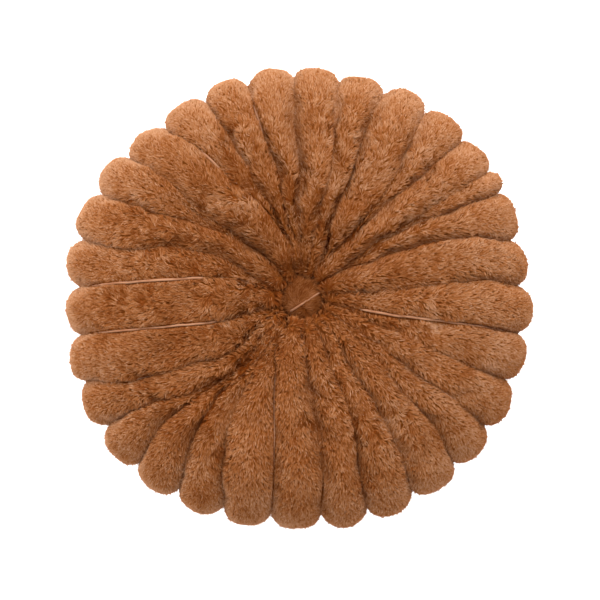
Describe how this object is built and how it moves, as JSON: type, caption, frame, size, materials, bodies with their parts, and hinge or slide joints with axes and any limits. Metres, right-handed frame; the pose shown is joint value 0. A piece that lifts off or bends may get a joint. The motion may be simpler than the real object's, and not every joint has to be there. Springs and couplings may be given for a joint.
{
  "type": "round pumpkin cushion with sewn channels and a buttoned centre",
  "caption": "Round plush cushion with puffed radial channels gathered to a covered button in the middle of each face.",
  "frame": {"origin": "on the surface that the cushion lies on, below the centre of its outline", "axes": "+Z up out of the front face, +X to the right and +Y up as the front face is seen in the picture"},
  "size_m": [0.4526, 0.448, 0.1218],
  "materials": {
    "plush": "short dense plush pile, matt",
    "button_plush": "short dense plush pile, matt"
  },
  "bodies": {
    "root": {"cushion": "plush", "front_button": "button_plush", "back_button": "button_plush"}
  },
  "joints": []
}
